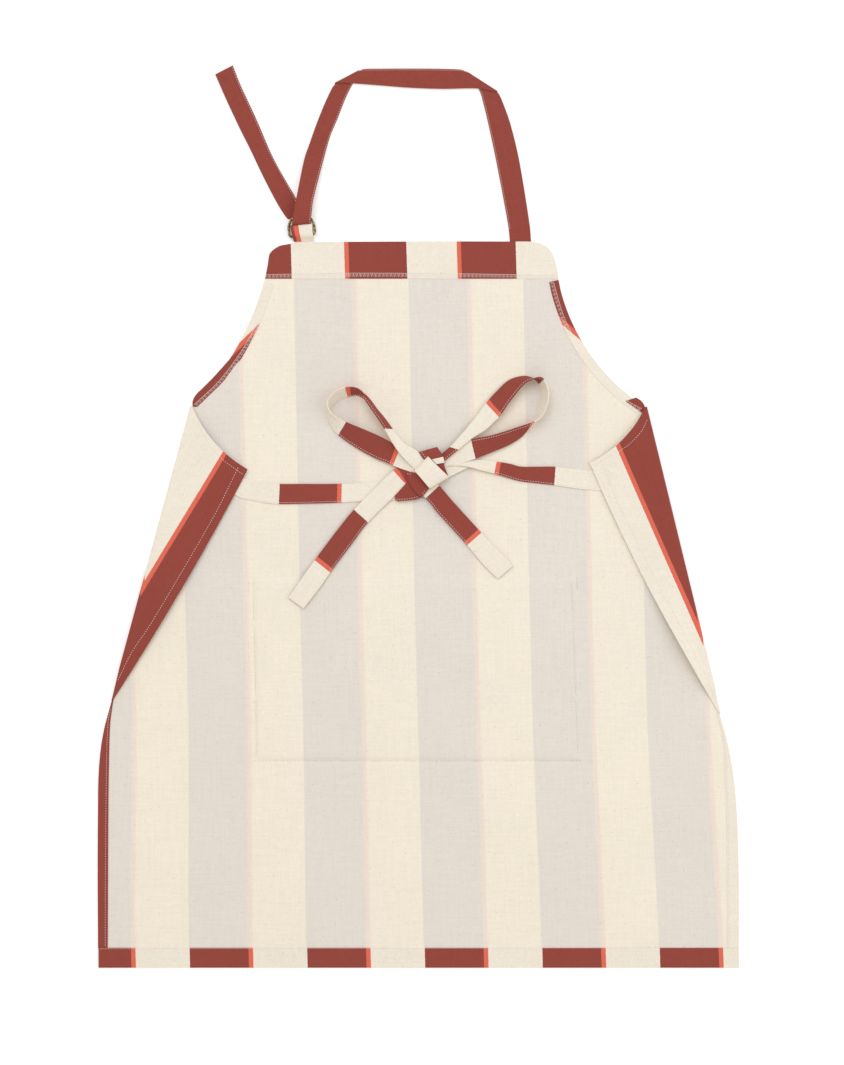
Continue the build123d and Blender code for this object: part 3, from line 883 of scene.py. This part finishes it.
RIGHT_LOOP = (
    (20.5, 53.7, 8.0, 14.9, 60.3, 7.5), (37.1, 68.0, 8.6, 28.2, 71.4, 7.5),
    (47.0, 76.3, 9.5, 37.5, 79.2, 7.5), (59.2, 86.3, 10.0, 47.6, 90.7, 7.0),
    (73.4, 95.2, 10.0, 57.0, 101.7, 6.0), (81.3, 102.3, 10.0, 66.2, 113.4, 5.0),
    (90.2, 111.2, 10.5, 76.3, 127.1, 4.5), (98.8, 123.9, 11.5, 86.3, 138.1, 4.0),
    (108.5, 136.6, 13.0, 97.9, 149.0, 3.6), (116.2, 145.4, 15.0, 107.9, 153.6, 3.4),
    (122.9, 149.6, 17.0, 120.2, 154.8, 3.0), (134.4, 152.9, 18.5, 130.9, 149.7, 2.8),
    (140.2, 146.6, 18.5, 134.2, 142.7, 2.8), (142.9, 137.7, 18.5, 135.1, 135.5, 2.8),
    (142.8, 127.8, 18.0, 134.2, 127.2, 2.8), (139.5, 116.7, 17.0, 131.3, 118.1, 2.8),
    (134.3, 108.9, 16.0, 128.9, 107.4, 2.8), (125.5, 103.5, 14.0, 122.5, 98.1, 3.0),
    (111.7, 99.0, 12.0, 112.9, 87.4, 3.5), (95.7, 93.8, 10.5, 99.0, 78.6, 4.0),
    (79.1, 89.1, 8.5, 83.5, 72.0, 4.5), (58.1, 84.9, 7.0, 63.1, 63.8, 5.0),
    (43.7, 79.7, 6.0, 48.7, 59.7, 5.0), (30.4, 70.8, 6.0, 32.4, 55.3, 5.5),
    (19.4, 63.6, 6.0, 21.6, 51.4, 5.5),
)
LEFT_TAIL = (
    (-10.0, 68.0, 4.4, 2.8, 52.6, 4.4), (-25.7, 52.7, 4.6, -11.8, 37.6, 4.6),
    (-37.1, 42.0, 4.6, -23.2, 26.0, 4.6), (-70.3, 8.7, 3.6, -54.8, -5.3, 3.6),
    (-91.3, -17.1, 3.2, -74.7, -31.5, 3.2), (-111.7, -44.3, 3.3, -94.6, -57.9, 3.3),
    (-126.7, -65.3, 3.9, -109.5, -79.1, 3.9), (-143.3, -89.6, 4.1, -127.0, -101.6, 4.1),
)
RIGHT_TAIL = (
    (5.0, 42.6, 5.5, -8.9, 29.3, 5.5), (14.9, 39.3, 5.2, -1.1, 26.0, 5.2),
    (23.0, 34.0, 4.9, 8.2, 20.2, 4.9), (37.1, 17.7, 4.2, 22.1, 3.3, 4.2),
    (67.8, -16.0, 3.4, 52.3, -30.0, 3.4), (86.9, -36.0, 3.3, 70.3, -51.4, 3.3),
    (104.6, -54.2, 3.6, 87.4, -68.9, 3.6),
)
KNOT_BAND = (
    (-0.6, 47.0, 5, 13.8, 61.4, 5), (-4.2, 50.0, 8, 10.8, 65.7, 8),
    (-4.0, 49.8, 12.2, 11.2, 65.5, 12.2), (-1.3, 46.8, 14.2, 14.5, 62.1, 14.2),
    (3.9, 40.7, 15, 22.1, 54.5, 15), (9.8, 33.7, 14, 30.4, 46.6, 14),
    (12.2, 31.2, 11.8, 33.3, 43.8, 11.8), (11.8, 31.5, 8, 33.0, 44.1, 8),
    (8.3, 36.0, 5, 29.3, 48.1, 5),
)
KNOT_BACK = (
    (5.0, 64.7, 5, 23.8, 69.2, 5), (0.8, 70.4, 6, 20.9, 75.9, 6),
    (1.1, 70.0, 9, 21.2, 75.6, 9), (4.4, 65.8, 10.5, 24.5, 70.7, 10.5),
    (8.9, 60.3, 10.5, 27.8, 64.9, 10.5), (12.7, 54.8, 9.5, 29.3, 59.2, 9.5),
)
# Each tape: its rows, its marks, and the body it follows.
tapes = {}
for name, rows, marks, body in (
    ("left_tie", LEFT_TIE, ((-153.5, 25, 0), (-90.3, 25.5, 65), (-26, 30, 130)), "left_tie"),
    ("right_tie", RIGHT_TIE, ((151, 45, 0), (87.7, 53, 67.5)), "right_tie"),
    ("left_loop", LEFT_LOOP,
     ((-33.3, 96.5, 0), (-77.7, 137.4, 67.5), (-84.4, 96.8, 130), (-27.6, 66, 197.5)), "left_loop"),
    ("right_loop", RIGHT_LOOP,
     ((83.1, 119.2, 67.5), (136.3, 148.9, 0), (124.6, 101, -62.5), (60.2, 74.2, -130)), "right_loop"),
    ("left_tail", LEFT_TAIL, ((-18.0, 45.3, 67), (-62.9, 0.8, 130)), "left_tail"),
    ("right_tail", RIGHT_TAIL, ((15.0, 26.6, 130), (59.6, -22.5, 197.5)), "right_tail"),
    ("knot_band", KNOT_BAND, ((14, 48, 95),), "left_tie"),
    ("knot_back", KNOT_BACK, ((18, 65, 30),), "left_tie"),
):
    piece, grid = ribbon(name + "_tape", rows, marks, PRINT, body, on_panel=True)
    tapes[name] = piece, grid, body
    if name in BENDS:
        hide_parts(name)
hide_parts("knot")


LEAST_SIDE = 0.0102  # smallest side taken for a scrap's spans


def scrap(name, corners, value, body):
    """A short visible length of tape in the knot, between corners in millimetres."""
    corners = np.asarray(corners, float) * MM
    loop = smooth_loop([Vector(c[:2]) for c in corners], TAPE_STEP)
    flat, faces = fill(loop, TAPE_STEP)
    points = []
    for p in flat:
        weight = 1 / (np.hypot(corners[:, 0] - p.x, corners[:, 1] - p.y) ** 2 + 1e-7)
        points.append((p.x, p.y, float((weight * corners[:, 2]).sum() / weight.sum())))
    uvs = [(plain(value)(p.x, p.y), p.y) for p in flat]
    piece = new_piece(name, points, faces, uvs, [PRINT])
    thicken(piece, TAPE)
    attach(piece, body)
    spans = [max(LEAST_SIDE, float(np.ptp(corners[:, k]))) for k in range(2)]


# Each scrap: its corners, its colour, and the body it follows.
SCRAPS = {
    "knot_wrap": (((-13.6, 49.7, 7.2), (-3.2, 47.7, 8.6), (5.0, 39.6, 9.0), (12.0, 31.4, 8.4),
                   (3.9, 20.9, 6.8), (-0.1, 23.2, 7.2), (-7.1, 31.9, 7.6), (-11.7, 41.5, 7.4)),
                  IN_RUST, "left_tie"),
    "knot_under": (((-25.8, 23.4, 5.6), (-12.8, 37.0, 6.0), (-6.0, 40.4, 6.0), (-2.6, 31.9, 5.8),
                    (2.4, 23.3, 5.6), (3.6, 21.2, 5.2), (-3.2, 18.6, 5.0), (-23.0, 16.9, 5.0),
                    (-25.8, 18.6, 5.2)), IN_RUST, "left_tie"),
    "tail_turn": (((-22.4, 54.0, 5.9), (-16.9, 54.4, 6.4), (-9.0, 52.0, 6.6), (-4.0, 44.0, 6.4),
                   (-8.6, 36.4, 6.2), (-12.6, 36.8, 5.8)), IN_RUST, "left_tie"),
    "knot_sliver": (((14.9, 62.9, 12.0), (27.3, 65.8, 11.2), (28.9, 59.4, 10.2), (19.6, 57.6, 11.6)),
                    IN_CREAM, "left_tie"),
    "knot_corner": (((18.8, 58.9, 9.8), (27.3, 60.0, 9.4), (28.8, 55.0, 9.2), (33.2, 43.6, 8.6),
                     (29.0, 46.0, 9.0)), IN_RUST, "left_tie"),
    "tie_turn": (((27.0, 57.0, 6.0), (40.0, 57.6, 5.0), (56.0, 56.0, 4.2), (54.7, 54.0, 4.0),
                  (44.0, 48.8, 3.8), (33.3, 43.4, 4.2), (29.0, 48.0, 5.4)), IN_CREAM, "right_tie"),
}
for name, (corners, value, body) in SCRAPS.items():
    scrap(name, corners, value, body)

# ---------------------------------------------------------------- neck strap, tab and rings
NECK_STRAP = (
    (124.5, 304.2, 0.6, 101.2, 304.2, 0.6), (122.6, 325.0, 0.8, 98.6, 326.0, 0.8),
    (111.5, 393.0, 0.8, 86.0, 393.0, 0.8), (102.0, 433.0, 0.7, 77.5, 433.0, 0.7),
    (94.0, 456.0, 0.6, 71.5, 458.0, 0.6), (89.6, 466.2, 0.6, 66.8, 472.2, 0.6),
    (87.0, 469.4, 0.6, 54.0, 490.6, 0.6), (87.4, 470.0, 1.3, 54.0, 491.5, 1.3),
    (86.0, 469.5, 2.0, 52.5, 491.8, 2.0), (66.0, 473.2, 2.1, 46.0, 494.1, 2.1),
    (25.3, 472.8, 2.0, 20.0, 495.0, 2.0), (-11.0, 474.2, 1.9, -14.0, 495.2, 1.9),
    (-41.8, 476.6, 2.0, -45.0, 495.0, 2.0), (-73.2, 478.9, 2.1, -60.0, 494.7, 2.1),
    (-90.5, 479.6, 2.0, -64.5, 493.0, 2.0), (-92.6, 479.0, 1.3, -66.0, 493.2, 1.3),
    (-92.4, 478.2, 0.6, -65.0, 492.4, 0.6), (-96.0, 473.0, 0.6, -73.0, 478.0, 0.6),
    (-104.0, 456.0, 0.7, -80.5, 463.0, 0.7), (-113.0, 433.5, 0.8, -90.0, 439.0, 0.8),
    (-120.5, 412.0, 1.4, -98.1, 419.3, 1.2), (-126.4, 393.9, 3.4, -106.2, 389.8, 3.4),
    (-133.7, 356.4, 9.0, -115.6, 351.0, 9.0), (-136.6, 341.0, 11.2, -117.4, 337.0, 11.2),
    (-139.2, 324.2, 11.2, -118.4, 326.2, 11.2), (-139.5, 322.2, 9.8, -118.5, 324.4, 9.8),
    (-139.5, 322.0, 3.2, -118.5, 324.2, 3.2),
)
STRAP_TAIL = (
    (-142.0, 331.0, 0.6, -128.0, 327.0, 0.6), (-145.0, 329.5, 0.6, -132.0, 340.0, 0.6),
    (-155.8, 345.6, 0.7, -135.8, 352.3, 0.7), (-171.9, 376.4, 0.7, -145.0, 368.4, 0.7),
    (-185.0, 404.0, 0.8, -161.2, 397.8, 0.8), (-197.4, 428.7, 0.8, -179.9, 440.8, 0.8),
    (-213.0, 462.0, 0.7, -196.1, 475.6, 0.7), (-224.8, 489.0, 0.7, -205.4, 499.0, 0.7),
)
RING_TAB = (
    (-137.7, 303.9, 1.2, -115.0, 304.6, 1.2), (-138.3, 306.2, 3.4, -115.7, 307.0, 3.4),
    (-139.2, 309.2, 7.2, -116.4, 310.2, 7.2), (-140.6, 314.5, 8.3, -117.0, 316.0, 8.3),
    (-141.6, 319.3, 8.2, -117.2, 321.8, 8.2), (-142.0, 320.8, 6.8, -117.3, 323.0, 6.8),
    (-141.9, 320.6, 2.2, -117.3, 322.8, 2.2), (-141.3, 318.5, 0.6, -117.0, 321.0, 0.6),
    (-138.3, 305.0, 0.6, -115.6, 306.0, 0.6),
)
NO_STRIPES = ((0, 0, 0),)
TAB_MARKS = ((-128, 312, 61.7),)
strap, strap_grid = ribbon("neck_strap_tape", NECK_STRAP, NO_STRIPES, STRAP, "neck_loop",
                           STRAP_THICKNESS)
tail, tail_grid = ribbon("strap_tail_tape", STRAP_TAIL, NO_STRIPES, STRAP, "strap_tail",
                         STRAP_THICKNESS)
tab, tab_grid = ribbon("ring_tab_tape", RING_TAB, TAB_MARKS, PRINT, "neck_loop", TAB_THICKNESS,
                       lean=TAPE_WIDTH)
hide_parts("neck_strap")
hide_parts("ring_tab")
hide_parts("strap_tail")
for name in ("d_ring_upper", "d_ring_lower"):
    mesh = frame["nodes"][name].data
    mesh.materials.clear()
    mesh.materials.append(BRASS)

# ---------------------------------------------------------------- stitching
SEAT = CLOTH / 2 + 0.00008  # from a cloth's middle to the middle of a thread on it


def points_along(corners):
    """Points at even steps through corners given in millimetres."""
    return curve_through([(x * MM, y * MM) for x, y in corners], SEAM_STEP)


def sew(name, lines, height, lift, body, material=THREAD):
    """Rows of stitches along lines in millimetres, lifted off a cloth's middle."""
    threads = Threads(name + "_stitches", material)
    for corners in lines:
        threads.run(on_cloth(points_along(corners), height, lift))
    threads.make(body)


def sew_tape(name, grid, edge, inset, body, thickness=TAPE, skip=(0.0, 0.0)):
    """Stitches a little inside one edge of a tape, on the side that faces up.

    The skips are the shares of the tape that are left without stitches at its two ends.
    """
    near, far = (grid[:, 0], grid[:, -1]) if edge == 0 else (grid[:, -1], grid[:, 0])
    share = np.clip(inset / np.linalg.norm(far - near, axis=1), 0, 0.4)[:, None]
    line = near * (1 - share) + far * share
    face = np.cross(far - near, np.gradient(line, axis=0))
    face /= np.linalg.norm(face, axis=1)[:, None] + 1e-12
    face *= np.where(face[:, 2:] < 0, -1, 1)
    path = line + face * (thickness / 2 + 0.00006)
    first, last = int(len(path) * skip[0]), len(path) - int(len(path) * skip[1])
    threads = Threads(name + "_stitches", THREAD)
    threads.run(path[first:last])
    threads.make(body)


def serge(name, inner, outer, lift=LAYER + SEAT):
    """An overlocked edge on the panel, between two lines given in millimetres."""
    rows = [np.array(on_cloth(points_along(line), lay, lift)) for line in (inner, outer)]
    count = min(len(row) for row in rows)
    threads = Threads(name + "_serge", SERGE_THREAD, SERGE_WIDTH)
    threads.overlock(*(resample(row, count) for row in rows))
    threads.make("panel")


sew("bottom_hem", [((-352, -477.9), (0, -477.4), (352, -476.6))], lay, LAYER + SEAT, "panel")
sew("left_hem", [((-340.6, -213.0), (-342.9, -224.0), (-344.5, -254.0), (-345.6, -324.0),
                  (-346.2, -405.0), (-346.3, -476.0))], lay, LAYER + SEAT, "panel")
sew("right_hem", [((331.4, -220.0), (338.6, -250.0), (340.6, -281.0), (342.3, -329.0),
                   (343.3, -420.0), (343.6, -476.0))], lay, LAYER + SEAT, "panel", PALE_THREAD)
sew("left_flap", [((-199.1, 54.1), (-228.2, -3.7), (-293.0, -114.5), (-316.3, -149.5),
                   (-332.6, -182.0)),
                  ((-244.0, 104.0), (-233.5, 84.5), (-217.6, 64.2), (-199.1, 50.1),
                   (-192.9, 45.7))], left_flap_height, SEAT, "left_flap")
sew("right_flap", [((222.5, 72.4), (232.7, 79.7), (245.0, 92.6), (251.0, 103.0), (252.6, 107.0))],
    right_flap_height, SEAT, "right_flap")
sew("right_flap_pale", [((200.0, 66.0), (225.5, 4.0), (262.0, -69.0), (296.0, -135.0),
                         (326.0, -196.0)),
                        ((193.6, 56.0), (206.0, 63.5), (222.5, 72.4)),
                        ((201.5, 53.0), (211.8, 48.0), (208.4, 30.0), (203.6, 34.0))],
    right_flap_height, SEAT, "right_flap", PALE_THREAD)
# The pocket's seams use the thread whose darker colour is painted crease shade.
sew("pocket", POCKET_SEAMS, lay, SEAT, "panel", POCKET_THREAD_CREASE_SHADE)
sew("pocket_corner", [((-187.6, -73.0), (-187.2, -88.0)), ((175.1, -68.0), (175.6, -81.0))],
    lay, SEAT, "panel", POCKET_THREAD_CREASE_SHADE)
# Each tape's edge that is sewn, how far inside it, and the shares left bare at the ends.
for name, edge, inset, skip in (
    ("left_tie", 1, 0.0016, (0.1, 0.03)), ("right_tie", 1, 0.0016, (0.08, 0.02)),
    ("left_loop", 1, 0.0019, (0.04, 0.04)), ("right_loop", 0, 0.0019, (0.04, 0.04)),
    ("left_tail", 1, 0.0016, (0.1, 0.01)), ("right_tail", 1, 0.0016, (0.12, 0.01)),
    ("knot_back", 0, 0.0024, (0.0, 0.0)),
):
    sew_tape(name, tapes[name][1], edge, inset, tapes[name][2], skip=skip)
for name, line, scrap_height, lift in (
    ("knot_wrap", ((-12.6, 47.3), (-8.0, 46.4), (-3.4, 46.2)), 0.0079, 0.0006),
    ("knot_end", ((8.2, 31.2), (5.8, 27.0), (3.0, 22.9)), 0.0079, 0.0003),
    ("knot_under", ((-24.6, 18.9), (-10.0, 19.6), (1.6, 22.4)), 0.0056, 0.0003),
):
    sew(name, [line], lambda x, y: scrap_height, lift, "left_tie")
sew_tape("strap_tail", tail_grid, 1, 0.0014, "strap_tail", STRAP_THICKNESS)
sew_tape("strap", strap_grid, 1, 0.0014, "neck_loop", STRAP_THICKNESS, (0.03, 0.01))
serge("bib_facing", ((-168.8, 267.4), (-80.0, 269.0), (40.0, 268.4), (153.4, 266.6)),
      ((-169.0, 263.2), (-80.0, 264.4), (40.0, 264.0), (154.4, 263.0)))
serge("left_armhole", ((-178.6, 213.0), (-197.0, 181.0), (-220.4, 150.0), (-248.0, 123.5)),
      ((-174.4, 210.8), (-193.2, 179.6), (-217.0, 148.9), (-245.0, 121.8)))
serge("right_armhole", ((149.4, 259.0), (157.0, 232.0), (163.4, 214.6), (171.0, 200.0)),
      ((145.0, 258.6), (152.8, 231.0), (159.6, 212.6), (167.0, 198.0)))
serge("right_tip", ((231.0, 127.5), (240.0, 122.6), (247.0, 119.0)),
      ((229.0, 124.4), (238.0, 119.0), (244.6, 115.4)), TIP_LAYER + SEAT)

# ---------------------------------------------------------------- sheets of cloth
for piece, area, length in ((left_armhole, left_armhole_area, 0.166),
                            (right_armhole, right_armhole_area, 0.174),
                            (left_hem, left_hem_area, 0.260), (right_hem, right_hem_area, 0.248)):
    min(area, HEM_WIDTH * length)
for node, piece in under_flap.items():
    side = node.split("_")[0]


def declare_tape(piece, grid):
    """Work out how long the middle of a tape's grid is."""
    length = float(distances((grid[:, 0] + grid[:, -1]) / 2)[-1])


for name, (piece, grid, _) in tapes.items():
    declare_tape(piece, grid)
declare_tape(strap, strap_grid)
declare_tape(tail, tail_grid)
declare_tape(tab, tab_grid)

# ---------------------------------------------------------------- floor, light and camera
FLOOR_REACH, FLOOR_GLOW = 4, 0.30  # metres each way, and the floor's own light
SKY_COLOUR, SKY_STRENGTH = (1, 0.95, 0.865, 1), 0.715
LAMP_COLOUR = (0.775, 0.861, 1.0)
floor_corners = [(x * FLOOR_REACH, y * FLOOR_REACH, 0) for x, y in ((-1, -1), (1, -1), (1, 1), (-1, 1))]
floor_shader = Shader("floor", 0.95)
floor_shader.finish({"Base Color": (0.80, 0.80, 0.80, 1), "Emission Color": (1, 1, 1, 1),
                     "Emission Strength": FLOOR_GLOW, "Specular IOR Level": 0.1})
new_piece("floor", floor_corners, [(0, 1, 2, 3)], None, [floor_shader.material])

world = bpy.data.worlds.new("studio")
bpy.context.scene.world = world
world.use_nodes = True
sky = world.node_tree.nodes["Background"].inputs
sky["Color"].default_value = SKY_COLOUR
sky["Strength"].default_value = SKY_STRENGTH


def area_light(name, place, size, power):
    """A square lamp that faces the middle of the apron."""
    data = bpy.data.lights.new(name, "AREA")
    data.shape = "SQUARE"
    data.size = size
    data.energy = power
    data.color = LAMP_COLOUR
    light = bpy.data.objects.new(name, data)
    light.location = place
    light.rotation_euler = (-Vector(place)).to_track_quat("-Z", "Y").to_euler()
    bpy.context.scene.collection.objects.link(light)


area_light("top_softbox", (-0.9, 2.3, 4.2), 3.0, 80)
area_light("right_softbox", (2.4, 0.2, 2.4), 2.2, 23)

VIEW_HEIGHT = 1.1783  # metres of table from the top of the picture to its foot
CAMERA_DISTANCE = 2.8
SENSOR = 36  # millimetres
camera_data = bpy.data.cameras.new("camera")
camera_data.sensor_width = SENSOR
camera_data.lens = SENSOR * CAMERA_DISTANCE / VIEW_HEIGHT
camera = bpy.data.objects.new("camera", camera_data)
camera.location = (0.0039, -0.0177, CAMERA_DISTANCE)
bpy.context.scene.collection.objects.link(camera)
bpy.context.scene.camera = camera
bpy.context.scene.view_settings.view_transform = "Standard"
